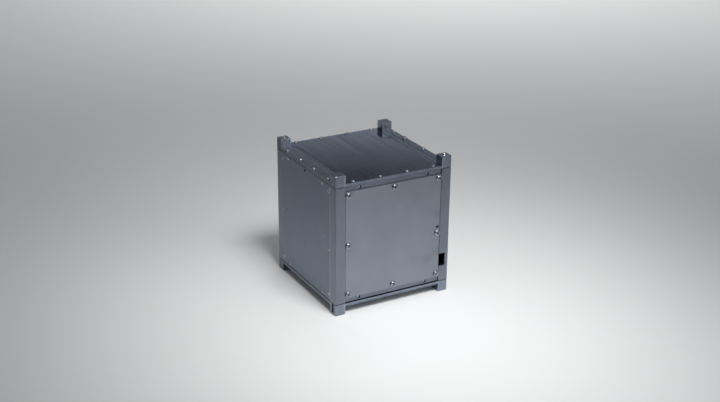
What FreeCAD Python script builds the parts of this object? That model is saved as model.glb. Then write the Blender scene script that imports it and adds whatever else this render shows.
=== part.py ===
"""One-unit cube satellite: a 100 mm aluminium box on four square corner rails.

Frame: millimetres, +Z up. The origin lies under the middle of the body, in the
plane of the four feet. Front is -Y, left is -X. Each face is seen from outside
when a comment says left or right of it.
"""
import FreeCAD
import Part
import os

Vector = FreeCAD.Vector
Rotation = FreeCAD.Rotation
Placement = FreeCAD.Placement
UP = Vector(0, 0, 1)

# Overall sizes
body_width = 100.0
body_height = 100.0
rail_width = 8.5
post_height = 6.75
foot_height = 6.75

# End frames: a flat rim with a lip that stands inside the side panels
rim_thickness = 2.35
rim_bar_width = 8.0
lip_height = 10.0
lip_clearance = 0.1
outer_corner_radius = 1.0
post_edge_chamfer = 0.3
strip_width = 5.7
step_width = 3.9
step_drop = 0.12

# Deck plates seated in the end frames, narrower between the side strips
deck_thickness = 1.25
deck_clearance = 0.06
deck_seat_width = 3.5
deck_edge_chamfer = 0.1
channel_width = 3.4
channel_depth = 0.2
deck_flare_length = 4.4

# Corner rails
rail_wall = 3.0
rail_end_gap = 0.5

# Side panels
panel_thickness = 2.0
panel_side_gap = 0.08
panel_end_gap = 0.55
panel_edge_chamfer = 0.15
plain_panel_recess = 0.05
covered_panel_recess = 1.0
access_side_margin = 7.5
access_end_margin = 11.65
access_corner_radius = 6.0

# Raised covers over the access openings of the front and the back
cover_left_gap = 0.1
cover_right_gap = 0.4
cover_end_margin = 4.35
cover_thickness = 1.2
cover_edge_chamfer = 0.15

# Screw holes, each set in from the edge of the piece it goes through
cover_screw_side_inset = 2.25
cover_screw_end_inset = 3.0
low_screw_offset = 5.0
border_screw_side_inset = 12.3
border_screw_end_inset = 2.5
panel_screw_side_inset = 2.3
panel_screw_end_inset = 5.45
cover_hole_diameter = 2.6
cover_spare_hole_diameter = 2.4
small_hole_diameter = 2.5
clearance_hole_diameter = 2.4
tapped_hole_diameter = 1.6

# Service window in the front right rail
window_width = 5.4
window_height = 10.6
window_above_panel_end = 13.3
window_corner_radius = 0.5
window_panel_notch = 2.5

# Separation spring plungers in two diagonal posts
plunger_diameter = 5.0
plunger_length = 8.4
plunger_fit = 0.03
plunger_hole_relief = 0.3
plunger_chamfer = 0.35
plunger_wall = 0.65
bore_floor = 1.6
collar_thickness = 0.9
collar_overhang = 0.6
nose_clearance = 0.05
nose_travel = 1.27
nose_tip_chamfer = 0.5
shoulder_length = 2.4
shoulder_gap = 0.05
key_slot_width = 0.7
key_slot_depth = 0.45

# Deployment switches in two diagonal feet
switch_slot_width = 2.1
switch_slot_bottom = 1.5
switch_slot_depth = 5.2
lever_width = 1.5
lever_thickness = 0.5
lever_setback = 1.1
lever_lean = 0.9
pivot_diameter = 1.2
pivot_below_rim = 1.1
roller_diameter = 1.7
button_diameter = 1.5
button_clearance = 0.05
button_setback = 0.1
button_bridge_thickness = 0.35
button_bridge_gap = 0.1
roller_gap = 0.15

# Board stack, one plain block that stands on the lip of the bottom frame
stack_side_gap = 4.0
stack_top_gap = 5.3

# How far a cutting shape runs on past the face that it opens
overrun = 1.0

# Heights and half widths that follow from the sizes above
half = body_width / 2
body_bottom = foot_height
body_top = body_bottom + body_height
body_middle = (body_bottom + body_top) / 2
rail_inner = half - rail_width
panel_bottom = body_bottom + rim_thickness
panel_top = body_top - rim_thickness
panel_length = panel_top - panel_bottom
rim_inner = half - rim_bar_width
strip_inner = half - strip_width
step_inner = strip_inner - step_width
deck_half = step_inner - channel_width
deck_seat = body_top - deck_thickness
post_centre = half - rail_width / 2
cover_left = cover_left_gap - rail_inner
cover_right = rail_inner - cover_right_gap
cover_half_height = panel_length / 2 - cover_end_margin
border_screw_across = rail_inner - border_screw_side_inset
border_screw_up = panel_length / 2 - border_screw_end_inset
stack_half = half - covered_panel_recess - panel_thickness - stack_side_gap
plunger_top = body_top + post_height
plunger_bottom = plunger_top - plunger_length
bore_diameter = plunger_diameter - 2 * plunger_wall
collar_hole_diameter = bore_diameter - 2 * collar_overhang
spring_corners = [(-1, 1), (1, -1)]
switch_corners = [(-1, -1), (1, 1)]


def box(x0, x1, y0, y1, z0, z1):
    """A box between two opposite corners."""
    return Part.makeBox(x1 - x0, y1 - y0, z1 - z0, Vector(x0, y0, z0))


def rod(diameter, length, base, direction=UP):
    """A round bar that starts at base."""
    return Part.makeCylinder(diameter / 2, length, base, direction)


def edges_along(shape, axis, test):
    """The straight edges parallel to an axis whose middle passes a test."""
    chosen = []
    for edge in shape.Edges:
        if not isinstance(edge.Curve, Part.Line):
            continue
        if abs(edge.tangentAt(edge.FirstParameter).dot(axis)) < 0.999:
            continue
        if test(edge.CenterOfMass):
            chosen.append(edge)
    return chosen


def faced(shape, side):
    """Turn something made for the front face (-Y) to another side."""
    angle = {"front": 0, "right": 90, "back": 180, "left": 270}[side]
    turned = shape.copy()
    turned.rotate(Vector(0, 0, 0), UP, angle)
    return turned


def upside_down(shape):
    """Mirror a top end piece to the bottom end of the body."""
    return shape.mirror(Vector(0, 0, body_middle), UP)


def drill(shape, diameter, depth, places, face):
    """Holes into a panel made for the front, at (across, up) from its middle."""
    for across, up in places:
        start = Vector(across, face - overrun, body_middle + up)
        shape = shape.cut(rod(diameter, depth + 2 * overrun, start, Vector(0, 1, 0)))
    return shape


def deck_outline(clearance):
    """The deck's plan: wide between the posts, flared in to clear the side strips."""
    wide = rail_inner - clearance
    narrow = deck_half - clearance
    end = rail_inner + clearance
    quarter = [Vector(wide, half, 0), Vector(wide, end, 0), Vector(narrow, end - deck_flare_length, 0)]
    right = quarter + [Vector(p.x, -p.y, 0) for p in reversed(quarter)]
    left = [Vector(-p.x, p.y, 0) for p in reversed(right)]
    return Part.Face(Part.makePolygon(right + left + right[:1]))


def post(sx, sy):
    """One square post on a corner of the top end frame."""
    inner, outer = rail_inner, half
    x0, x1 = sorted((sx * inner, sx * outer))
    y0, y1 = sorted((sy * inner, sy * outer))
    shape = box(x0, x1, y0, y1, panel_top, body_top + post_height)
    corner = edges_along(shape, UP, lambda c: abs(c.x) > half - 0.01 and abs(c.y) > half - 0.01)
    shape = shape.makeFillet(outer_corner_radius, corner)
    top_rim = [e for e in shape.Edges if abs(e.CenterOfMass.z - body_top - post_height) < 0.01]
    return shape.makeChamfer(post_edge_chamfer, top_rim)


def end_frame():
    """The top end frame: rim, stepped side strips, lip and four posts."""
    frame = box(-half, half, -half, half, panel_top, body_top)
    corners = edges_along(frame, UP, lambda c: True)
    frame = frame.makeFillet(outer_corner_radius, corners)
    seat_inner = deck_half - deck_seat_width
    opening = box(-seat_inner, seat_inner, -rim_inner, rim_inner, panel_top - overrun, body_top + overrun)
    frame = frame.cut(opening)

    # A shallow channel and a step beside each strip, then the deck's own seat
    reach = half + overrun
    frame = frame.cut(box(-step_inner, step_inner, -reach, reach, body_top - channel_depth, body_top + overrun))
    frame = frame.cut(box(-strip_inner, strip_inner, -reach, reach, body_top - step_drop, body_top + overrun))
    plan = deck_outline(0).extrude(UP * (deck_thickness + overrun))
    plan.translate(UP * deck_seat)
    frame = frame.cut(plan)

    for side, recess in (("front", covered_panel_recess), ("back", covered_panel_recess),
                         ("left", plain_panel_recess), ("right", plain_panel_recess)):
        lip_face = half - recess - panel_thickness - lip_clearance
        lip = box(-rail_inner + lip_clearance, rail_inner - lip_clearance, -lip_face, -rim_inner,
                  panel_top - lip_height, panel_top)
        frame = frame.fuse(faced(lip, side))

    for sx in (-1, 1):
        for sy in (-1, 1):
            frame = frame.fuse(post(sx, sy))
    return frame.removeSplitter()


def top_frame():
    """The top end frame, tapped for the two plungers and in the side lips."""
    frame = end_frame()
    for sx in (-1, 1):
        start = Vector(sx * (half + overrun), 0, body_middle + border_screw_up)
        frame = frame.cut(rod(tapped_hole_diameter, rim_bar_width + 2 * overrun, start, Vector(-sx, 0, 0)))
    for sx, sy in spring_corners:
        frame = frame.cut(plunger_hole(sx, sy))
    return frame


def plunger_hole(sx, sy):
    """The hole that a spring plunger screws into, a little deeper than its body."""
    start = Vector(sx * post_centre, sy * post_centre, plunger_bottom - plunger_hole_relief)
    return rod(plunger_diameter + 2 * plunger_fit, 2 * plunger_length, start)


def bottom_frame():
    """The bottom end frame with a switch slot in two diagonal feet."""
    frame = upside_down(end_frame())
    for sx, sy in switch_corners:
        frame = frame.cut(switch_slot(sx, sy))
        start = Vector(sx * post_centre, sy * post_centre, -overrun)
        hole = rod(button_diameter + 2 * button_clearance, switch_slot_bottom + 2 * overrun, start)
        frame = frame.cut(hole)
    return frame


def switch_slot(sx, sy):
    """The slot that opens a foot on its left or right side for the switch."""
    x0, x1 = sorted((sx * (half + overrun), sx * (half - switch_slot_depth)))
    middle = sy * post_centre
    return box(x0, x1, middle - switch_slot_width / 2, middle + switch_slot_width / 2,
               switch_slot_bottom, panel_bottom)


def deck():
    """The top deck plate, its upper edges broken."""
    plate = deck_outline(deck_clearance).extrude(UP * deck_thickness)
    plate.translate(UP * deck_seat)
    upper = [e for e in plate.Edges if e.CenterOfMass.z > body_top - 0.01]
    return plate.makeChamfer(deck_edge_chamfer, upper)


def rail(sx, sy):
    """One corner rail: an angle section with solid square ends, clear of any plunger."""
    x0, x1 = sorted((sx * rail_inner, sx * half))
    y0, y1 = sorted((sy * rail_inner, sy * half))
    shape = box(x0, x1, y0, y1, panel_bottom + rail_end_gap, panel_top - rail_end_gap)
    corner = edges_along(shape, UP, lambda c: abs(c.x) > half - 0.01 and abs(c.y) > half - 0.01)
    shape = shape.makeFillet(outer_corner_radius, corner)
    inside = half - rail_wall
    cx0, cx1 = sorted((sx * (rail_inner - overrun), sx * inside))
    cy0, cy1 = sorted((sy * (rail_inner - overrun), sy * inside))
    shape = shape.cut(box(cx0, cx1, cy0, cy1, panel_bottom + lip_height, panel_top - lip_height))
    if (sx, sy) in spring_corners:
        shape = shape.cut(plunger_hole(sx, sy))
    return shape


def window_cut(reach_in):
    """The service window's outline, run in from the front by a depth."""
    x0 = rail_inner - window_panel_notch
    x1 = rail_inner + window_width
    z0 = panel_bottom + window_above_panel_end
    z1 = z0 + window_height
    cut = box(x0, x1, -half - overrun, -half + reach_in, z0, z1)
    rounded = edges_along(cut, Vector(0, 1, 0), lambda c: c.x > x1 - 0.01)
    return cut.makeFillet(window_corner_radius, rounded)


def front_right_rail():
    """The rail whose front wall has the service window."""
    return rail(1, -1).cut(window_cut(rail_wall + overrun))


def panel_blank(recess):
    """A side panel made for the front, its outer edges broken."""
    face = -half + recess
    across = rail_inner - panel_side_gap
    shape = box(-across, across, face, face + panel_thickness,
                panel_bottom + panel_end_gap, panel_top - panel_end_gap)
    outer = [e for e in shape.Edges if abs(e.CenterOfMass.y - face) < 0.01]
    return shape.makeChamfer(panel_edge_chamfer, outer)


def border_screw_places():
    """The four screws that hold a panel's ends to the lips of the end frames."""
    return [(sa * border_screw_across, su * border_screw_up) for sa in (-1, 1) for su in (-1, 1)]


def cover_screw_places():
    """The eight cover screws, as (across, up): the right middle one sits low."""
    left = cover_left + cover_screw_side_inset
    right = cover_right - cover_screw_side_inset
    end = cover_half_height - cover_screw_end_inset
    corners = [(across, su * end) for across in (left, right) for su in (-1, 1)]
    return corners + [(0.0, end), (0.0, -end), (left, 0.0), (right, -low_screw_offset)]


def plain_panel_screw_places():
    """The six screws inside the border of a plain panel, the right one low."""
    side = rail_inner - panel_screw_side_inset
    end = panel_length / 2 - panel_screw_end_inset
    corners = [(sa * side, su * end) for sa in (-1, 1) for su in (-1, 1)]
    return corners + [(-side, 0.0), (side, -low_screw_offset)]


def covered_panel():
    """The front or back panel: a frame round the access opening."""
    face = -half + covered_panel_recess
    shape = panel_blank(covered_panel_recess)
    x = rail_inner - access_side_margin
    z = panel_length / 2 - access_end_margin
    opening = box(-x, x, face - overrun, face + panel_thickness + overrun, body_middle - z, body_middle + z)
    opening = opening.makeFillet(access_corner_radius, edges_along(opening, Vector(0, 1, 0), lambda c: True))
    return drill(shape.cut(opening), small_hole_diameter, panel_thickness, border_screw_places(), face)


def spare_hole_place():
    """The empty hole in the middle of the front cover's right edge."""
    return [(cover_right - cover_screw_side_inset, 0.0)]


def cover():
    """The raised cover of the front or back, with through holes."""
    face = -half + covered_panel_recess - cover_thickness
    shape = box(cover_left, cover_right, face, face + cover_thickness,
                body_middle - cover_half_height, body_middle + cover_half_height)
    outer = [e for e in shape.Edges if abs(e.CenterOfMass.y - face) < 0.01]
    shape = shape.makeChamfer(cover_edge_chamfer, outer)
    return drill(shape, cover_hole_diameter, cover_thickness, cover_screw_places(), face)


def front_cover():
    """The front cover, with one more hole that stays empty."""
    return drill(cover(), cover_spare_hole_diameter, cover_thickness, spare_hole_place(), -half)


def front_panel():
    """The front panel, notched behind the service window and drilled behind the empty hole."""
    shape = covered_panel().cut(window_cut(half))
    return drill(shape, tapped_hole_diameter, covered_panel_recess + panel_thickness, spare_hole_place(), -half)


def plain_panel():
    """The left or right panel: flush, with small screws round it."""
    face = -half + plain_panel_recess
    shape = panel_blank(plain_panel_recess)
    places = border_screw_places() + plain_panel_screw_places()
    shape = drill(shape, small_hole_diameter, panel_thickness, places, face)
    return drill(shape, clearance_hole_diameter, panel_thickness, [(0.0, border_screw_up)], face)


def spring_body(sx, sy):
    """A screwed-in plunger body: bored out, with a collar that keeps the nose."""
    centre = Vector(sx * post_centre, sy * post_centre, plunger_bottom)
    shape = rod(plunger_diameter, plunger_length, centre)
    rim = [e for e in shape.Edges if abs(e.CenterOfMass.z - plunger_top) < 0.01]
    shape = shape.makeChamfer(plunger_chamfer, rim)
    bore_length = plunger_length - bore_floor - collar_thickness
    shape = shape.cut(rod(bore_diameter, bore_length, centre + UP * bore_floor))
    shape = shape.cut(rod(collar_hole_diameter, plunger_length, centre + UP * (bore_floor + overrun)))
    slot = box(-plunger_diameter, plunger_diameter, -key_slot_width / 2, key_slot_width / 2,
               plunger_top - key_slot_depth, plunger_top + overrun)
    slot.translate(Vector(sx * post_centre, sy * post_centre, 0))
    return shape.cut(slot)


def spring_nose(sx, sy):
    """A plunger nose: shoulder in the bore, stem through the collar, coned tip."""
    shoulder_radius = bore_diameter / 2 - nose_clearance
    stem_radius = collar_hole_diameter / 2 - nose_clearance
    shoulder_top = plunger_top - collar_thickness - shoulder_gap
    base = Vector(sx * post_centre, sy * post_centre, shoulder_top - shoulder_length)
    stem_length = plunger_top + nose_travel - base.z
    stem = rod(2 * stem_radius, stem_length, base)
    tip = [e for e in stem.Edges if e.CenterOfMass.z > plunger_top]
    stem = stem.makeChamfer(nose_tip_chamfer, [e for e in tip if isinstance(e.Curve, Part.Circle)])
    return stem.fuse(rod(2 * shoulder_radius, shoulder_length, base)).removeSplitter()


def switch_lever(sx, sy):
    """A deployment switch: pivot pin, leaf, roller and the button under it."""
    centre = Vector(sx * post_centre, sy * post_centre, 0)
    pivot_z = panel_bottom - pivot_below_rim
    pivot_x = sx * (half - lever_setback - pivot_diameter / 2)
    pin = rod(pivot_diameter, switch_slot_width, Vector(pivot_x, centre.y - switch_slot_width / 2, pivot_z),
              Vector(0, 1, 0))
    roller_z = switch_slot_bottom + roller_diameter / 2 + roller_gap
    roller_x = pivot_x - sx * lever_lean
    roller = rod(roller_diameter, lever_width, Vector(roller_x, centre.y - lever_width / 2, roller_z),
                 Vector(0, 1, 0))
    run = Vector(roller_x - pivot_x, 0, roller_z - pivot_z)
    leaf = Part.makeBox(lever_thickness, lever_width, run.Length,
                        Vector(-lever_thickness / 2, -lever_width / 2, 0))
    leaf.Placement = Placement(Vector(pivot_x, centre.y, pivot_z), Rotation(UP, run)).multiply(leaf.Placement)
    bridge_bottom = switch_slot_bottom + button_bridge_gap
    bridge_top = bridge_bottom + button_bridge_thickness
    bridge_end = centre.x - sx * button_diameter / 2
    bridge = box(*sorted((bridge_end, roller_x)), centre.y - lever_width / 2, centre.y + lever_width / 2,
                 bridge_bottom, bridge_top)
    button = rod(button_diameter, bridge_top - button_setback, Vector(centre.x, centre.y, button_setback))
    return pin.fuse([leaf, roller, bridge, button]).removeSplitter()


def stack():
    """The board stack and battery, as one plain block on the bottom lip."""
    return box(-stack_half, stack_half, -stack_half, stack_half,
               panel_bottom + lip_height, panel_top - lip_height - stack_top_gap)


def all_parts():
    """Every sub-part by its node name."""
    parts = {
        "frame_top": top_frame(),
        "frame_bottom": bottom_frame(),
        "deck_top": deck(),
        "deck_bottom": upside_down(deck()),
        "rail_front_left": rail(-1, -1),
        "rail_front_right": front_right_rail(),
        "rail_back_left": rail(-1, 1),
        "rail_back_right": rail(1, 1),
        "panel_front": front_panel(),
        "panel_back": faced(covered_panel(), "back"),
        "panel_left": faced(plain_panel(), "left"),
        "panel_right": faced(plain_panel(), "right"),
        "cover_front": front_cover(),
        "cover_back": faced(cover(), "back"),
        "board_stack": stack(),
    }
    for name, (sx, sy) in zip(("left", "right"), spring_corners):
        parts["spring_body_" + name] = spring_body(sx, sy)
        parts["spring_nose_" + name] = spring_nose(sx, sy)
    for name, (sx, sy) in zip(("front", "back"), switch_corners):
        parts["switch_" + name] = switch_lever(sx, sy)
    return parts


def main():
    os.makedirs("parts", exist_ok=True)
    for name, shape in all_parts().items():
        if len(shape.Solids) == 1:
            shape = shape.Solids[0]
        print(name, "solids", len(shape.Solids), "valid", shape.isValid(), "volume", round(shape.Volume, 1))
        shape.exportStep("parts/" + name + ".step")


main()
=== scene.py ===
"""A one-unit cube satellite of machined aluminium, standing on a pale studio floor.

Metres, in the model's own frame: +Z up, the covered front face is -Y, left is -X.
"""
import math
import bpy
from mathutils import Matrix, Vector


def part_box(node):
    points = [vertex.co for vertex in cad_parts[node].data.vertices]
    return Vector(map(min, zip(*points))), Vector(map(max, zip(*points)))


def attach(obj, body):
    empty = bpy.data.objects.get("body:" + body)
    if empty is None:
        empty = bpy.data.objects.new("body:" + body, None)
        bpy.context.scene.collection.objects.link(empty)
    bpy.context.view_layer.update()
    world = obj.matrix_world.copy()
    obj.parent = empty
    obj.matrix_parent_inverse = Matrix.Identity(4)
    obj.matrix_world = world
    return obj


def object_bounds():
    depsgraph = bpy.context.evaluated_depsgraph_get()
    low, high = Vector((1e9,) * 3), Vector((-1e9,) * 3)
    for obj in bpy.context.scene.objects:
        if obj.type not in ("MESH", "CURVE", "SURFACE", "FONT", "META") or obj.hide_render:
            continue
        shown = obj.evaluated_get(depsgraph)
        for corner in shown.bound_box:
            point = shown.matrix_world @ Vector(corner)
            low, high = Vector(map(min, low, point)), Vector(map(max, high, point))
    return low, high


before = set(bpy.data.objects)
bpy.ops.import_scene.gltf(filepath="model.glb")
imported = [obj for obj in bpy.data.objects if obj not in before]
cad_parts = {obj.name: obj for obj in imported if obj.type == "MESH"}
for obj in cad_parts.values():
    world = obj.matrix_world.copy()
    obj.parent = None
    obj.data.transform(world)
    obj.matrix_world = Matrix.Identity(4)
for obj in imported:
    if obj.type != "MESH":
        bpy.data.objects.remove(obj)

cad_low, cad_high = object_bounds()

MM = 0.001
UP = Vector((0.0, 0.0, 1.0))
FRONT = Vector((0.0, -1.0, 0.0))

# Screw places, set in from the edge of the piece that each screw holds
COVER_SCREW_SIDE_INSET = 2.25 * MM
COVER_SCREW_END_INSET = 3.0 * MM
BORDER_SCREW_SIDE_INSET = 12.22 * MM
BORDER_SCREW_END_INSET = 1.95 * MM
PANEL_SCREW_SIDE_INSET = 2.22 * MM
PANEL_SCREW_END_INSET = 4.9 * MM
DECK_SCREW_EDGE_INSET = 1.8 * MM

# How far below the middle of its edge the low screw of a cover or panel sits
LOW_SCREW_OFFSET = 5.0 * MM

# Screw places along the edges of the decks and along the side strips, from the middle
DECK_SCREWS_ALONG = (-34.3 * MM, -11.5 * MM, 11.5 * MM, 34.3 * MM)
STRIP_SCREWS_ALONG = (-34.3 * MM, -11.5 * MM, 34.3 * MM)
LEFT_PAN_SCREW_ALONG = 10.9 * MM
RIGHT_PAN_SCREW_ALONG = 17.2 * MM

# Screw sizes: head, cross recess and shank. A squareness of 2 makes the head a dome, a
# larger one squares its sides, and a head that is let in sits that far below the surface
PAN_SCREW = {
    "Head Diameter": 4.8 * MM, "Head Height": 1.5 * MM, "Squareness": 3.2, "Let In": 0.0,
    "Recess Span": 2.9 * MM, "Recess Width": 0.85 * MM, "Recess Depth": 1.1 * MM,
    "Shank Diameter": 2.4 * MM, "Shank Length": 3.6 * MM,
}
SIDE_SCREW = {
    "Head Diameter": 2.7 * MM, "Head Height": 0.65 * MM, "Squareness": 2.2, "Let In": 0.0,
    "Recess Span": 1.2 * MM, "Recess Width": 0.4 * MM, "Recess Depth": 0.3 * MM,
    "Shank Diameter": 1.5 * MM, "Shank Length": 2.8 * MM,
}
BORDER_SCREW = {
    "Head Diameter": 2.2 * MM, "Head Height": 0.8 * MM, "Squareness": 2.2, "Let In": 0.85 * MM,
    "Recess Span": 1.1 * MM, "Recess Width": 0.4 * MM, "Recess Depth": 0.45 * MM,
    "Shank Diameter": 1.5 * MM, "Shank Length": 2.0 * MM,
}
DECK_SCREW = {
    "Head Diameter": 3.0 * MM, "Head Height": 1.05 * MM, "Squareness": 2.3, "Let In": 0.0,
    "Recess Span": 1.4 * MM, "Recess Width": 0.45 * MM, "Recess Depth": 0.5 * MM,
    "Shank Diameter": 1.5 * MM, "Shank Length": 0.8 * MM,
}
STRIP_PAN_SCREW = {
    "Head Diameter": 3.8 * MM, "Head Height": 1.5 * MM, "Squareness": 2.3, "Let In": 0.0,
    "Recess Span": 2.2 * MM, "Recess Width": 0.8 * MM, "Recess Depth": 1.1 * MM,
    "Shank Diameter": 1.8 * MM, "Shank Length": 1.2 * MM,
}

# Aluminium of each kind of piece
COVER_ALUMINIUM = (0.248, 0.276, 0.320, 1.0)
# The front and back panels are set about 0.7 times as bright as the covers
PANEL_ALUMINIUM = (0.173, 0.200, 0.247, 1.0)
SIDE_ALUMINIUM = (0.169, 0.204, 0.256, 1.0)
RAIL_ALUMINIUM = (0.188, 0.213, 0.254, 1.0)
FRAME_ALUMINIUM = (0.228, 0.262, 0.318, 1.0)
DECK_ALUMINIUM = (0.223, 0.274, 0.352, 1.0)

# Steel, boards and floor
STAINLESS = (0.600, 0.625, 0.660, 1.0)
SCREW_STEEL = (0.360, 0.385, 0.430, 1.0)
SWITCH_STEEL = (0.420, 0.430, 0.445, 1.0)
BOARD_BLACK = (0.012, 0.012, 0.013, 1.0)
LAMINATE_GREEN = (0.030, 0.050, 0.035, 1.0)
FLOOR_PALE = (0.80, 0.80, 0.795, 1.0)

# Tones laid over a metal in places: painted shade, and the dark patches on the front cover
DARK_SHADE = (0.010, 0.012, 0.015, 1.0)
COOL_SHADE = (0.002, 0.030, 0.090, 1.0)

# Soft dark patches on the front cover near its right edge: middle in millimetres, and reach
DARK_PATCHES = (((39.5, -50.0, 68.0), 6.0), ((39.5, -50.0, 36.0), 5.0), ((31.0, -50.0, 31.0), 6.0))

# A plain sky
SKY_COLOUR = (0.93, 0.97, 1.04, 1.0)
SKY_LEVEL = 0.23

# A card in the sky behind the object, bright at its foot and dark above: which way it
# lies, the cosines of the angle from its middle where it starts and where it is full, and
# its strength at heights from the horizon (0) to overhead (1)
CARD_COLOUR = (0.92, 0.97, 1.06, 1.0)
CARD_TOWARDS = (0.46, 0.83, 0.30)
CARD_EDGE = (0.78, 0.93)
CARD_LEVELS = ((0.0, 0.55), (0.320, 0.66), (0.350, 0.02), (1.0, 0.02))

# A window low in front of the object, given in the same way
WINDOW_COLOUR = (1.08, 1.0, 0.90, 1.0)
WINDOW_TOWARDS = (0.47, -0.81, 0.35)
WINDOW_EDGE = (0.93, 0.98)
WINDOW_LEVEL = 1.6


def add(tree, kind, inputs=None, **settings):
    """One node in a tree: inputs are values, or sockets to link from."""
    node = tree.nodes.new(kind)
    for name, value in settings.items():
        setattr(node, name, value)
    for socket, value in (inputs or {}).items():
        if isinstance(value, bpy.types.NodeSocket):
            tree.links.new(value, node.inputs[socket])
        else:
            node.inputs[socket].default_value = value
    return node


def calculate(tree, operation, first, second=0.0):
    """The result of one Math node."""
    return add(tree, "ShaderNodeMath", {0: first, 1: second}, operation=operation).outputs[0]


def new_material(name, metallic, roughness):
    """A material and its main shader, with the values that are the same all over."""
    material = bpy.data.materials.new(name)
    material.use_nodes = True
    shader = material.node_tree.nodes["Principled BSDF"]
    shader.inputs["Metallic"].default_value = metallic
    shader.inputs["Roughness"].default_value = roughness
    return material, material.node_tree, shader


def millimetres(tree):
    """Object coordinates in millimetres."""
    place = add(tree, "ShaderNodeTexCoord").outputs["Object"]
    return add(tree, "ShaderNodeVectorMath", {0: place, "Scale": 1 / MM}, operation="SCALE").outputs[0]


def noise(tree, place, size, detail=3.0, roughness=0.55, turn=(0.0, 0.0, 0.0)):
    """Noise from 0 to 1 with blotches of a size in millimetres along each axis."""
    scale = tuple(1 / s for s in size)
    mapped = add(tree, "ShaderNodeMapping", {"Vector": place, "Scale": scale, "Rotation": turn},
                 vector_type="POINT")
    values = {"Vector": mapped.outputs[0], "Scale": 1.0, "Detail": detail, "Roughness": roughness}
    return add(tree, "ShaderNodeTexNoise", values).outputs[0]


def spread(tree, value, low, high, to_low=0.0, to_high=1.0):
    """A value's range from low to high, spread over another range and held at its ends."""
    values = {0: value, 1: low, 2: high, 3: to_low, 4: to_high}
    return add(tree, "ShaderNodeMapRange", values).outputs[0]


def blend(tree, factor, first, second):
    """A colour between two colours, by the Mix node's colour sockets."""
    return add(tree, "ShaderNodeMix", {0: factor, 6: first, 7: second}, data_type="RGBA").outputs[2]


def tinted(colour, gain):
    """A colour made lighter or darker."""
    return tuple(c * gain for c in colour[:3]) + (1.0,)


def rubbed_and_highlit_edges(tree, place, reach):
    """1 along bright edges, 0 elsewhere, in patches: wear, and a painted highlight where set high."""
    normal = add(tree, "ShaderNodeNewGeometry").outputs["Normal"]
    rounded = add(tree, "ShaderNodeBevel", {"Radius": reach}, samples=6).outputs[0]
    likeness = add(tree, "ShaderNodeVectorMath", {0: normal, 1: rounded}, operation="DOT_PRODUCT")
    edge = spread(tree, likeness.outputs["Value"], 0.98, 0.80)
    patches = spread(tree, noise(tree, place, (3.0, 3.0, 3.0)), 0.35, 0.65, 0.25, 1.0)
    return calculate(tree, "MULTIPLY", edge, patches)


def scratches(tree, place, length, width, turn, amount):
    """Thin bright lines in one direction, each a few millimetres long."""
    lines = noise(tree, place, (width, length, length), detail=1.0, turn=turn)
    patches = spread(tree, noise(tree, place, (17.0, 17.0, 17.0), detail=1.0), 0.45, 0.62)
    return calculate(tree, "MULTIPLY", spread(tree, lines, 1.0 - amount, 1.04 - amount), patches)


def dark_patches(tree):
    """1 in the middle of each dark patch on the front cover, 0 away from them."""
    place = millimetres(tree)
    shade = 0.0
    for middle, reach in DARK_PATCHES:
        apart = add(tree, "ShaderNodeVectorMath", {0: place, 1: middle}, operation="DISTANCE")
        mark = spread(tree, apart.outputs["Value"], 0.2 * reach, reach, 1.0, 0.0)
        shade = calculate(tree, "MAXIMUM", mark, shade)
    return shade


def faces_along(tree, axis, low, high):
    """1 on faces turned well towards an axis or away from it, 0 on the others."""
    normal = add(tree, "ShaderNodeNewGeometry").outputs["True Normal"]
    apart = add(tree, "ShaderNodeSeparateXYZ", {0: normal}).outputs[axis]
    return spread(tree, calculate(tree, "ABSOLUTE", apart), low, high)


def bare_metal(name, colour, roughness, grain, grain_depth, streaks=0.0, mottle=0.08, rubbing_and_highlight=0.10):
    """Machined or blasted aluminium: grain, faint stains, scratches and bright edges.

    The grain is the size of its texture along each axis, and its depth how deep that
    looks, all in millimetres. Streaks are cutter marks that run along Y. Mottle is how
    much the stains change the tone, and rubbing_and_highlight how bright the edges are:
    rubbed wear when low, a painted highlight when set high.
    """
    material, tree, shader = new_material(name, 1.0, roughness)
    place = millimetres(tree)
    stains = noise(tree, place, (21.0, 21.0, 26.0), detail=5.0, roughness=0.6)
    specks = noise(tree, place, (1.6, 1.6, 1.6), detail=4.0, roughness=0.7)
    fine = noise(tree, place, grain, detail=2.0)
    bands = noise(tree, place, (2.0, 300.0, 40.0), detail=4.0, roughness=0.75)
    edges = rubbed_and_highlit_edges(tree, place, 0.45 * MM)
    rubs = calculate(tree, "MAXIMUM",
                     scratches(tree, place, 9.0, 0.22, (0.3, 0.5, 0.9), 0.30),
                     scratches(tree, place, 13.0, 0.18, (1.1, 0.2, -0.5), 0.29))

    darker, lighter = tinted(colour, 1 - mottle), tinted(colour, 1 + mottle)
    tone = blend(tree, spread(tree, stains, 0.35, 0.65), darker, lighter)
    tone = blend(tree, spread(tree, specks, 0.62, 0.78, 0.0, 0.20), tone, tinted(colour, 0.75))
    tone = blend(tree, spread(tree, bands, 0.36, 0.64, 0.0, streaks), tone, tinted(colour, 0.50))
    tone = blend(tree, calculate(tree, "MULTIPLY", rubs, 0.25), tone, tinted(colour, 1.5))
    # Edges made brighter: rubbed wear, and a painted highlight where the strength is set high
    tone = blend(tree, calculate(tree, "MULTIPLY", edges, rubbing_and_highlight), tone, tinted(colour, 2.1))
    tree.links.new(tone, shader.inputs["Base Color"])

    rough = spread(tree, stains, 0.3, 0.7, roughness - 0.7 * mottle, roughness + 0.7 * mottle)
    rough = calculate(tree, "ADD", rough, spread(tree, fine, 0.3, 0.7, -0.04, 0.04))
    smoother = -0.5 * streaks * roughness
    rough = calculate(tree, "ADD", rough, spread(tree, bands, 0.36, 0.64, smoother, 0.0))
    tree.links.new(rough, shader.inputs["Roughness"])

    height = calculate(tree, "ADD", fine, calculate(tree, "MULTIPLY", rubs, -0.6))
    bump = add(tree, "ShaderNodeBump", {"Strength": 1.0, "Distance": grain_depth * MM, "Height": height})
    tree.links.new(bump.outputs[0], shader.inputs["Normal"])
    return material


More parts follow.
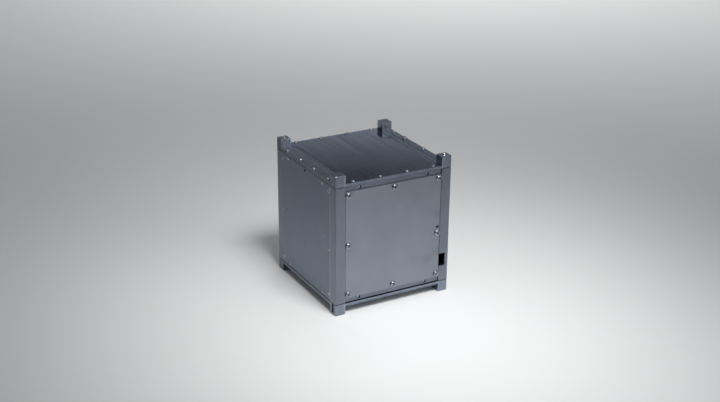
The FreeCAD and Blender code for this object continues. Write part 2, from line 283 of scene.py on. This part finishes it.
def pale_step_lines(tree):
    """1 along a fine pale line on the step beside each side strip, in patches."""
    from_middle = 41.8
    faint_at, full_at = 0.55, 0.15
    place = millimetres(tree)
    across = add(tree, "ShaderNodeSeparateXYZ", {0: place}).outputs[0]
    offset = calculate(tree, "SUBTRACT", calculate(tree, "ABSOLUTE", across), from_middle)
    line = spread(tree, calculate(tree, "ABSOLUTE", offset), faint_at, full_at)
    patches = spread(tree, noise(tree, place, (0.5, 14.0, 14.0), detail=2.0), 0.42, 0.60)
    return calculate(tree, "MULTIPLY", line, patches)


def highlight_along_edges(tree):
    """1 on a narrow line along a side panel's two upright edges, where a highlight is painted."""
    faint_at, full_at = 0.65, 0.45
    half_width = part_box("panel_left")[1].y / MM
    across = add(tree, "ShaderNodeSeparateXYZ", {0: millimetres(tree)}).outputs[1]
    across = calculate(tree, "ABSOLUTE", across)
    return spread(tree, across, half_width - faint_at, half_width - full_at)


def lay_over(material, mask, strength, laid=DARK_SHADE):
    """Lay a tone over a metal where a mask is 1."""
    tree = material.node_tree
    shader = tree.nodes["Principled BSDF"]
    tone = shader.inputs["Base Color"].links[0].from_socket
    shade = calculate(tree, "MULTIPLY", mask, strength)
    tree.links.new(blend(tree, shade, tone, laid), shader.inputs["Base Color"])


def turned_steel(name, colour, centre, roughness=0.2):
    """Bright stainless turned on a lathe: fine rings about an upright axis."""
    rings_per_metre = 9000.0
    material, tree, shader = new_material(name, 1.0, roughness)
    shader.inputs["Base Color"].default_value = colour
    place = add(tree, "ShaderNodeTexCoord").outputs["Object"]
    local = add(tree, "ShaderNodeVectorMath", {0: place, 1: centre}, operation="SUBTRACT").outputs[0]
    apart = add(tree, "ShaderNodeSeparateXYZ", {0: local})
    flat = add(tree, "ShaderNodeCombineXYZ", {0: apart.outputs[0], 1: apart.outputs[1]}).outputs[0]
    radius = add(tree, "ShaderNodeVectorMath", {0: flat}, operation="LENGTH").outputs["Value"]
    profile = add(tree, "ShaderNodeCombineXYZ", {0: radius, 1: apart.outputs[2]}).outputs[0]
    values = {"Vector": profile, "Scale": rings_per_metre, "Detail": 1.0}
    rings = add(tree, "ShaderNodeTexNoise", values).outputs[0]
    rough = spread(tree, rings, 0.3, 0.7, roughness - 0.06, roughness + 0.10)
    tree.links.new(rough, shader.inputs["Roughness"])
    bump = add(tree, "ShaderNodeBump", {"Strength": 0.5, "Distance": 0.004 * MM, "Height": rings})
    tree.links.new(bump.outputs[0], shader.inputs["Normal"])
    return material


def screw_steel(name, colour):
    """Steel of screws and switches: bright, a little uneven, darker in places."""
    material, tree, shader = new_material(name, 1.0, 0.28)
    place = millimetres(tree)
    dull = noise(tree, place, (0.9, 0.9, 0.9), detail=4.0, roughness=0.65)
    tone = blend(tree, spread(tree, dull, 0.35, 0.7), colour, tinted(colour, 0.62))
    tree.links.new(tone, shader.inputs["Base Color"])
    tree.links.new(spread(tree, dull, 0.3, 0.7, 0.22, 0.36), shader.inputs["Roughness"])
    bump = add(tree, "ShaderNodeBump", {"Strength": 0.4, "Distance": 0.008 * MM, "Height": dull})
    tree.links.new(bump.outputs[0], shader.inputs["Normal"])
    return material


def circuit_boards(name):
    """The dark block of stacked boards: laminate edges a little lighter than the gaps."""
    board_pitch = 15.0
    board_thickness = 1.6
    material, tree, shader = new_material(name, 0.0, 0.6)
    place = millimetres(tree)
    height = add(tree, "ShaderNodeSeparateXYZ", {0: place}).outputs[2]
    step = calculate(tree, "FRACT", calculate(tree, "DIVIDE", height, board_pitch))
    laminate = calculate(tree, "LESS_THAN", step, board_thickness / board_pitch)
    grit = noise(tree, place, (0.6, 0.6, 0.6), detail=3.0)
    tone = blend(tree, laminate, BOARD_BLACK, LAMINATE_GREEN)
    tone = blend(tree, spread(tree, grit, 0.4, 0.8, 0.0, 0.5), tone, tinted(BOARD_BLACK, 0.5))
    tree.links.new(tone, shader.inputs["Base Color"])
    tree.links.new(spread(tree, grit, 0.3, 0.7, 0.5, 0.75), shader.inputs["Roughness"])
    return material


def side_panel_finish(grain):
    """The side panels' metal, with a painted highlight along each upright edge."""
    # The edge brightening is set high here, so that it is mostly a painted highlight
    panel = bare_metal("side_panel_aluminium", SIDE_ALUMINIUM, 0.36, grain, 0.003, rubbing_and_highlight=0.8)
    # A painted highlight: a light line along each upright edge
    lay_over(panel, highlight_along_edges(panel.node_tree), 0.60, laid=tinted(SIDE_ALUMINIUM, 2.6))
    return panel


def cover_finish():
    """The covers' blasted metal: faint dark patches, and painted shade on its top and bottom edges."""
    grain = (0.25, 0.25, 0.9)
    cover = bare_metal("cover_aluminium", COVER_ALUMINIUM, 0.38, grain, 0.002, mottle=0.05, rubbing_and_highlight=0.0)
    # Soft dark patches near the front cover's right edge
    lay_over(cover, dark_patches(cover.node_tree), 0.14)
    # Painted shade on the faces that point up or down: the cover's top and bottom edges
    lay_over(cover, faces_along(cover.node_tree, axis=2, low=0.2, high=0.5), 0.6)
    return cover


def end_frame_finish(grain):
    """End frames' milled metal: painted shade on the sides, most at the back, and on tops and bottoms.
    """
    end = bare_metal("end_frame_aluminium", FRAME_ALUMINIUM, 0.28, grain, 0.001, streaks=0.20)
    tree = end.node_tree
    # Painted shade on the faces that point sideways, darkest on the back posts
    sides = faces_along(tree, axis=0, low=0.75, high=0.95)
    along = add(tree, "ShaderNodeSeparateXYZ", {0: millimetres(tree)}).outputs[1]
    back = spread(tree, along, 30.0, 40.0)
    lay_over(end, calculate(tree, "MULTIPLY", sides, back), 0.35)
    lay_over(end, sides, 0.28)
    # Painted shade in a cool tone on the faces that point up or down
    lay_over(end, faces_along(tree, axis=2, low=0.75, high=0.95), 0.24, laid=COOL_SHADE)
    # A pale line along the step beside each side strip
    lay_over(end, pale_step_lines(tree), 0.60, laid=tinted(FRAME_ALUMINIUM, 2.4))
    return end


def paint_nodes():
    """A finish for every piece of the model, found by the start of the piece's name."""
    upright = (0.14, 0.14, 18.0)
    lengthwise = (0.16, 30.0, 0.16)
    rail = bare_metal("rail_aluminium", RAIL_ALUMINIUM, 0.34, upright, 0.003)
    panel = bare_metal("panel_aluminium", PANEL_ALUMINIUM, 0.36, upright, 0.003)
    side_panel = side_panel_finish(upright)
    cover = cover_finish()
    end = end_frame_finish(lengthwise)
    deck = bare_metal("deck_aluminium", DECK_ALUMINIUM, 0.15, lengthwise, 0.003, streaks=0.75,
                      mottle=0.02)
    finishes = {
        "panel_left": side_panel, "panel_right": side_panel,
        "rail_": rail, "panel_": panel, "cover_": cover, "frame_": end, "deck_": deck,
        "switch_": screw_steel("switch_steel", SWITCH_STEEL),
        "board_stack": circuit_boards("board_laminate"),
    }
    for side in ("left", "right"):
        low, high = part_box("spring_body_" + side)
        centre = (low + high) / 2
        body = turned_steel("plunger_steel_" + side, STAINLESS, centre)
        nose = turned_steel("nose_steel_" + side, tinted(STAINLESS, 1.1), centre, roughness=0.12)
        finishes.update({"spring_body_" + side: body, "spring_nose_" + side: nose})
    for node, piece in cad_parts.items():
        piece.data.materials.clear()
        piece.data.materials.append(next(f for start, f in finishes.items() if node.startswith(start)))


def screw_tree():
    """The screws' node tree: a cross-recess head and its shank on every point."""
    tree = bpy.data.node_groups.new("screws", "GeometryNodeTree")
    tree.is_modifier = True
    tree.interface.new_socket("Points", in_out="INPUT", socket_type="NodeSocketGeometry")
    for name in PAN_SCREW:
        tree.interface.new_socket(name, in_out="INPUT", socket_type="NodeSocketFloat")
    tree.interface.new_socket("Turn Seed", in_out="INPUT", socket_type="NodeSocketInt")
    tree.interface.new_socket("Metal", in_out="INPUT", socket_type="NodeSocketMaterial")
    tree.interface.new_socket("Screws", in_out="OUTPUT", socket_type="NodeSocketGeometry")
    given = add(tree, "NodeGroupInput").outputs

    head = recessed_head(tree, given)
    shank_drop = calculate(tree, "MULTIPLY", given["Shank Length"], -0.5)
    shank = add(tree, "GeometryNodeMeshCylinder", {
        "Vertices": 24, "Radius": calculate(tree, "MULTIPLY", given["Shank Diameter"], 0.5),
        "Depth": given["Shank Length"]})
    lowered = add(tree, "ShaderNodeCombineXYZ", {2: shank_drop}).outputs[0]
    shank = add(tree, "GeometryNodeTransform", {0: shank.outputs[0], "Translation": lowered})
    whole = add(tree, "GeometryNodeJoinGeometry", {0: head})
    tree.links.new(shank.outputs[0], whole.inputs[0])
    sunk = calculate(tree, "MULTIPLY", given["Let In"], -1.0)
    lowered = add(tree, "ShaderNodeCombineXYZ", {2: sunk}).outputs[0]
    whole = add(tree, "GeometryNodeTransform", {0: whole.outputs[0], "Translation": lowered})

    facing = add(tree, "GeometryNodeInputNamedAttribute", {"Name": "facing"}, data_type="FLOAT_VECTOR")
    stood = add(tree, "FunctionNodeAlignRotationToVector", {"Vector": facing.outputs[0]}, axis="Z")
    # Each screw's own turn: sockets 2 and 3 are the range, socket 8 the seed
    turns = {2: 0.0, 3: math.tau, 8: given["Turn Seed"]}
    angle = add(tree, "FunctionNodeRandomValue", turns, data_type="FLOAT")
    spin = add(tree, "FunctionNodeAxisAngleToRotation", {"Axis": UP, "Angle": angle.outputs[1]})
    turned = add(tree, "FunctionNodeRotateRotation", {0: stood.outputs[0], 1: spin.outputs[0]},
                 rotation_space="LOCAL")
    placed = add(tree, "GeometryNodeInstanceOnPoints", {
        "Points": given["Points"], "Instance": whole.outputs[0], "Rotation": turned.outputs[0]})
    real = add(tree, "GeometryNodeRealizeInstances", {0: placed.outputs[0]})
    finished = add(tree, "GeometryNodeSetMaterial", {0: real.outputs[0], "Material": given["Metal"]})
    add(tree, "NodeGroupOutput", {0: finished.outputs[0]})
    return tree


def recessed_head(tree, given):
    """A round head on z = 0, its sides rounded over by a superellipse, with a cross cut in it."""
    wing_taper = 0.4
    wing_overrun = 1.3
    crease_angle = math.radians(32)
    ball = add(tree, "GeometryNodeMeshUVSphere", {"Segments": 32, "Rings": 16, "Radius": 1.0})
    position = add(tree, "GeometryNodeInputPosition").outputs[0]
    spot = add(tree, "ShaderNodeSeparateXYZ", {0: position}).outputs
    power = calculate(tree, "DIVIDE", 2.0, given["Squareness"])
    flat = add(tree, "ShaderNodeCombineXYZ", {0: spot[0], 1: spot[1]}).outputs[0]
    out = add(tree, "ShaderNodeVectorMath", {0: flat}, operation="LENGTH").outputs["Value"]
    out = calculate(tree, "MAXIMUM", out, 0.001)
    swell = calculate(tree, "POWER", out, calculate(tree, "SUBTRACT", power, 1.0))
    radius = calculate(tree, "MULTIPLY", given["Head Diameter"], 0.5)
    across = calculate(tree, "MULTIPLY", swell, radius)
    rise = calculate(tree, "POWER", calculate(tree, "MAXIMUM", spot[2], 0.0), power)
    shaped = add(tree, "ShaderNodeCombineXYZ", {
        0: calculate(tree, "MULTIPLY", spot[0], across), 1: calculate(tree, "MULTIPLY", spot[1], across),
        2: calculate(tree, "MULTIPLY", rise, given["Head Height"])}).outputs[0]
    head = add(tree, "GeometryNodeSetPosition", {0: ball.outputs[0], "Position": shaped})

    top = calculate(tree, "MULTIPLY", given["Recess Span"], math.sqrt(0.5))
    wing = add(tree, "GeometryNodeMeshCone", {
        "Vertices": 4, "Radius Top": top, "Radius Bottom": calculate(tree, "MULTIPLY", top, wing_taper),
        "Depth": calculate(tree, "MULTIPLY", given["Recess Depth"], wing_overrun)})
    wing = add(tree, "GeometryNodeTransform", {0: wing.outputs[0], "Rotation": (0.0, 0.0, math.pi / 4)})
    floor_height = calculate(tree, "SUBTRACT", given["Head Height"], given["Recess Depth"])
    thin = calculate(tree, "DIVIDE", given["Recess Width"], given["Recess Span"])
    scale = add(tree, "ShaderNodeCombineXYZ", {0: 1.0, 1: thin, 2: 1.0}).outputs[0]
    raised = add(tree, "ShaderNodeCombineXYZ", {2: floor_height}).outputs[0]
    wing = add(tree, "GeometryNodeTransform", {
        0: wing.outputs[0], "Scale": scale, "Translation": raised})
    other = add(tree, "GeometryNodeTransform", {0: wing.outputs[0], "Rotation": (0.0, 0.0, math.pi / 2)})
    cut = add(tree, "GeometryNodeMeshBoolean", {0: head.outputs[0], 1: wing.outputs[0]},
              operation="DIFFERENCE")
    tree.links.new(other.outputs[0], cut.inputs[1])

    sharp = add(tree, "GeometryNodeInputMeshEdgeAngle").outputs[0]
    crease = add(tree, "FunctionNodeCompare", {0: sharp, 1: crease_angle}, operation="GREATER_THAN")
    smooth = add(tree, "GeometryNodeSetShadeSmooth", {0: cut.outputs[0]}, domain="FACE")
    edges = {0: smooth.outputs[0], 1: crease.outputs[0], 2: False}
    creased = add(tree, "GeometryNodeSetShadeSmooth", edges, domain="EDGE")
    return creased.outputs[0]


def turned_places(places, degrees):
    """Places and the way they face, turned about the model's upright axis."""
    turn = Matrix.Rotation(math.radians(degrees), 3, "Z")
    return [(turn @ spot, turn @ facing) for spot, facing in places]


def face_places(low, high, side_inset, end_inset):
    """The four corner screws of a piece on the front face."""
    sides = (low.x + side_inset, high.x - side_inset)
    heights = (low.z + end_inset, high.z - end_inset)
    return [(Vector((across, low.y, height)), FRONT) for across in sides for height in heights]


def cover_places():
    """Eight screws on the front cover; the right middle one sits low."""
    low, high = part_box("cover_front")
    corners = face_places(low, high, COVER_SCREW_SIDE_INSET, COVER_SCREW_END_INSET)
    middle = (low.z + high.z) / 2
    left, right = low.x + COVER_SCREW_SIDE_INSET, high.x - COVER_SCREW_SIDE_INSET
    heights = (low.z + COVER_SCREW_END_INSET, high.z - COVER_SCREW_END_INSET)
    ends = [Vector((0.0, low.y, height)) for height in heights]
    mids = [Vector((left, low.y, middle)), Vector((right, low.y, middle - LOW_SCREW_OFFSET))]
    return corners + [(spot, FRONT) for spot in ends + mids]


def plain_panel_places():
    """Ten small screws on the left panel, made as if it were the front one."""
    low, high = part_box("panel_left")
    width = high.y - low.y
    flat_low = Vector((-width / 2, low.x, low.z))
    flat_high = Vector((width / 2, high.x, high.z))
    ends = face_places(flat_low, flat_high, BORDER_SCREW_SIDE_INSET, BORDER_SCREW_END_INSET)
    corners = face_places(flat_low, flat_high, PANEL_SCREW_SIDE_INSET, PANEL_SCREW_END_INSET)
    middle = (low.z + high.z) / 2
    side = width / 2 - PANEL_SCREW_SIDE_INSET
    mids = [Vector((-side, low.x, middle)), Vector((side, low.x, middle - LOW_SCREW_OFFSET))]
    return ends + corners + [(spot, FRONT) for spot in mids]


def deck_places():
    """The screws of the top deck's two ends, and the small ones of the strips beside it."""
    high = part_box("deck_top")[1]
    rim = high.y - DECK_SCREW_EDGE_INSET
    places = []
    for along in DECK_SCREWS_ALONG:
        for side in (-1, 1):
            places.append((Vector((along, side * rim, high.z)), UP))
            if along in STRIP_SCREWS_ALONG:
                places.append((Vector((side * rim, along, high.z)), UP))
    return places


def mirrored_below(places):
    """The same places on the bottom end of the body."""
    middle = (cad_low.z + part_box("frame_top")[1].z) / 2
    return [(Vector((spot.x, spot.y, 2 * middle - spot.z)), -facing) for spot, facing in places]


def set_screws(name, tree, places, sizes, metal, seed):
    """Screws at places, as one plain mesh that rides with the body."""
    mesh = bpy.data.meshes.new(name)
    mesh.from_pydata([spot for spot, _ in places], [], [])
    directions = mesh.attributes.new("facing", "FLOAT_VECTOR", "POINT")
    for point, (_, facing) in zip(directions.data, places):
        point.vector = facing
    screws = bpy.data.objects.new(name, mesh)
    bpy.context.scene.collection.objects.link(screws)
    modifier = screws.modifiers.new("screws", "NODES")
    modifier.node_group = tree
    values = dict(sizes, **{"Turn Seed": seed, "Metal": metal})
    for socket in tree.interface.items_tree:
        if socket.in_out == "INPUT" and socket.name in values:
            modifier[socket.identifier] = values[socket.name]
    evaluated = screws.evaluated_get(bpy.context.evaluated_depsgraph_get())
    screws.data = bpy.data.meshes.new_from_object(evaluated)
    screws.modifiers.clear()
    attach(screws, "satellite")


def fit_screws():
    """Every screw on the six faces."""
    tree = screw_tree()
    metal = screw_steel("screw_steel", SCREW_STEEL)
    # A lighter copy of the screw steel: a painted glint on the small side and border screws
    bright = screw_steel("bright_screw_steel", tinted(SCREW_STEEL, 1.25))
    cover = cover_places()
    set_screws("cover_screws", tree, cover + turned_places(cover, 180), PAN_SCREW, metal, seed=3)
    low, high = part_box("panel_front")
    border = face_places(low, high, BORDER_SCREW_SIDE_INSET, BORDER_SCREW_END_INSET)
    set_screws("border_screws", tree, border + turned_places(border, 180), BORDER_SCREW, bright, seed=5)
    side = plain_panel_places()
    sides = turned_places(side, 90) + turned_places(side, -90)
    set_screws("side_screws", tree, sides, SIDE_SCREW, bright, seed=6)
    deck = deck_places()
    set_screws("deck_screws", tree, deck + mirrored_below(deck), DECK_SCREW, metal, seed=8)
    edge = cad_high.x - DECK_SCREW_EDGE_INSET
    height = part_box("deck_top")[1].z
    strip = [(Vector((-edge, LEFT_PAN_SCREW_ALONG, height)), UP),
             (Vector((edge, RIGHT_PAN_SCREW_ALONG, height)), UP)]
    set_screws("strip_screws", tree, strip + mirrored_below(strip), STRIP_PAN_SCREW, metal, seed=13)


def plane(name, width, material):
    """A flat square on the ground."""
    mesh = bpy.data.meshes.new(name)
    half = width / 2
    corners = [(-half, -half, 0), (half, -half, 0), (half, half, 0), (-half, half, 0)]
    mesh.from_pydata(corners, [], [(0, 1, 2, 3)])
    mesh.materials.append(material)
    made = bpy.data.objects.new(name, mesh)
    bpy.context.scene.collection.objects.link(made)
    return made


def lay_floor():
    """A plain pale floor."""
    material, tree, shader = new_material("pale_floor", 0.0, 0.75)
    shader.inputs["Base Color"].default_value = FLOOR_PALE
    shader.inputs["Specular IOR Level"].default_value = 0.2
    plane("floor", width=8.0, material=material)


def area_light(name, place, target, width, beam, power):
    """A soft square lamp aimed at a point, its light kept to a beam so many degrees wide."""
    lamp = bpy.data.lights.new(name, "AREA")
    lamp.shape = "SQUARE"
    lamp.size = width
    lamp.spread = math.radians(beam)
    lamp.energy = power
    made = bpy.data.objects.new(name, lamp)
    made.location = place
    made.rotation_mode = "QUATERNION"
    made.rotation_quaternion = (Vector(target) - Vector(place)).to_track_quat("-Z", "Y")
    bpy.context.scene.collection.objects.link(made)


def part_of_sky(tree, direction, middle, edge):
    """1 where a direction points at something in the sky, 0 away from it."""
    middle = Vector(middle).normalized()
    cosine = add(tree, "ShaderNodeVectorMath", {0: direction, 1: middle}, operation="DOT_PRODUCT")
    return spread(tree, cosine.outputs["Value"], *edge)


def hang_lamps():
    """A soft lamp over the floor in front of the object, and one over the floor behind it."""
    area_light("key", place=(0.0, -0.50, 0.75), target=(0.0, -0.08, 0.0),
               width=0.36, beam=40, power=0.57)
    area_light("far_floor", place=(0.85, 1.20, 1.60), target=(0.85, 1.20, 0.0),
               width=1.0, beam=84, power=6.4)


def light_sky():
    """A plain sky, with a card behind the object and a window in front of it."""
    world = bpy.data.worlds.new("studio")
    bpy.context.scene.world = world
    world.use_nodes = True
    tree = world.node_tree
    background = tree.nodes["Background"]
    direction = add(tree, "ShaderNodeTexCoord").outputs["Generated"]
    height = add(tree, "ShaderNodeSeparateXYZ", {0: direction}).outputs[2]
    ramp = add(tree, "ShaderNodeValToRGB", {0: height})
    stops = ramp.color_ramp.elements
    while len(stops) < len(CARD_LEVELS):
        stops.new(0.5)
    for stop, (place, tone) in zip(stops, CARD_LEVELS):
        stop.position = place
        stop.color = (tone, tone, tone, 1.0)
    card = part_of_sky(tree, direction, CARD_TOWARDS, CARD_EDGE)
    window = part_of_sky(tree, direction, WINDOW_TOWARDS, WINDOW_EDGE)
    level = add(tree, "ShaderNodeMix", {0: card, 2: SKY_LEVEL, 3: ramp.outputs[0]}).outputs[0]
    level = calculate(tree, "ADD", level, calculate(tree, "MULTIPLY", window, WINDOW_LEVEL))
    tree.links.new(level, background.inputs["Strength"])
    colour = blend(tree, window, blend(tree, card, SKY_COLOUR, CARD_COLOUR), WINDOW_COLOUR)
    tree.links.new(colour, background.inputs["Color"])


def set_camera():
    """The camera of the picture, found by fitting the box's corners."""
    place = Vector((-429.3, -774.8, 430.0)) * MM
    target = Vector((0.0, 0.0, 56.75)) * MM
    roll = math.radians(0.53)
    back = (place - target).normalized()
    across = UP.cross(back).normalized()
    above = back.cross(across)
    right = math.cos(roll) * across + math.sin(roll) * above
    top = back.cross(right)
    camera = bpy.data.cameras.new("camera")
    camera.sensor_width = 36.0
    camera.lens = 60.6
    camera.shift_x = -0.0027
    camera.shift_y = 0.0172
    made = bpy.data.objects.new("camera", camera)
    made.matrix_world = Matrix.Translation(place) @ Matrix((right, top, back)).transposed().to_4x4()
    bpy.context.scene.collection.objects.link(made)
    bpy.context.scene.camera = made


def main():
    """Finish the model and set it in its studio."""
    paint_nodes()
    fit_screws()
    lay_floor()
    hang_lamps()
    light_sky()
    set_camera()
    bpy.context.scene.view_settings.view_transform = "Standard"


main()
